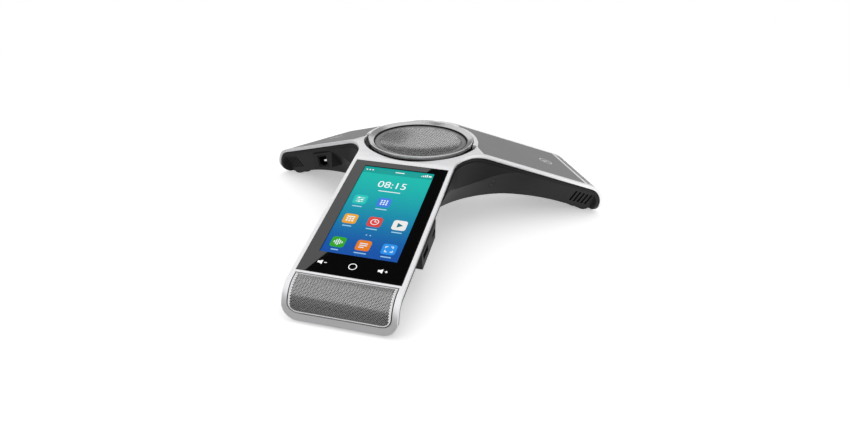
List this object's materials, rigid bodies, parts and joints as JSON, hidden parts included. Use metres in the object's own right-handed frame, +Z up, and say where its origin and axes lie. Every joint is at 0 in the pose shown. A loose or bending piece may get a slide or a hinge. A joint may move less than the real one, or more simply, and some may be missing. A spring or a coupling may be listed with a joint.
{
  "type": "conference telephone",
  "caption": "Three-armed table conference phone: touch display on the front arm, mesh loudspeaker dish on the hub, sloping side arms, microphone grilles on the noses.",
  "frame": {"origin": "middle of the bounding box on the table plane, under the hub's front edge", "axes": "+Z up from the table, -Y along the front arm towards the user, +X to the user's right"},
  "size_m": [0.338, 0.3366, 0.075],
  "materials": {
    "frame_silver": "satin",
    "cover_glass": "polished",
    "display": "lit screen",
    "tray_metal": "plain sheet",
    "panel_grey": "fine texture",
    "sensor_film": "film",
    "grille_metal": "perforated sheet",
    "black_plastic": "moulded",
    "gasket_foam": "foam",
    "basket_steel": "pressed",
    "magnet_ferrite": "sintered",
    "coil_copper": "wound wire",
    "cone_paper": "pressed paper",
    "soft_rubber": "moulded",
    "spider_cloth": "treated cloth",
    "screw_steel": "zinc",
    "foot_rubber": "moulded",
    "shell_charcoal": "fine texture",
    "circuit_board": "solder mask",
    "shield_tin": "tin",
    "jack_plastic": "moulded",
    "socket_plastic": "moulded",
    "capsule_metal": "drawn can"
  },
  "bodies": {
    "phone": {"base_screws": "screw_steel", "base_shell": "shell_charcoal", "display_panel": "display", "display_tray": "tray_metal", "ethernet_jack": "jack_plastic", "front_foot": "foot_rubber", "front_microphone": "capsule_metal", "front_microphone_board": "circuit_board", "front_microphone_boot": "soft_rubber", "front_nose_grille": "grille_metal", "grille_step": "black_plastic", "left_arm_panel": "panel_grey", "left_foot": "foot_rubber", "left_microphone": "capsule_metal", "left_microphone_board": "circuit_board", "left_microphone_boot": "soft_rubber", "left_mute_sensor": "sensor_film", "left_nose_grille": "grille_metal", "left_side_socket": "socket_plastic", "main_board": "circuit_board", "micro_usb_socket": "shield_tin", "network_board": "circuit_board", "processor_shield": "shield_tin", "right_arm_panel": "panel_grey", "right_foot": "foot_rubber", "right_microphone": "capsule_metal", "right_microphone_board": "circuit_board", "right_microphone_boot": "soft_rubber", "right_mute_sensor": "sensor_film", "right_nose_grille": "grille_metal", "right_side_socket": "socket_plastic", "speaker_basket": "basket_steel", "speaker_carrier": "black_plastic", "speaker_front_plate": "basket_steel", "speaker_gasket": "gasket_foam", "speaker_grille": "grille_metal", "speaker_magnet": "magnet_ferrite", "speaker_ring": "frame_silver", "speaker_screws": "screw_steel", "speaker_spider": "spider_cloth", "speaker_surround": "soft_rubber", "speaker_yoke": "basket_steel", "top_frame": "frame_silver", "touch_glass": "cover_glass", "usb_socket": "shield_tin"},
    "cone": {"speaker_cone": "cone_paper", "voice_coil": "coil_copper", "dust_cap": "cone_paper"}
  },
  "joints": [
    {"name": "cone_slide", "type": "slide", "parent": "phone", "child": "cone", "axis": [0, 0, 1], "range_m": [-0.002, 0.002], "stiffness_N_per_m": 1200, "deforming": ["speaker_surround", "speaker_spider"]}
  ]
}
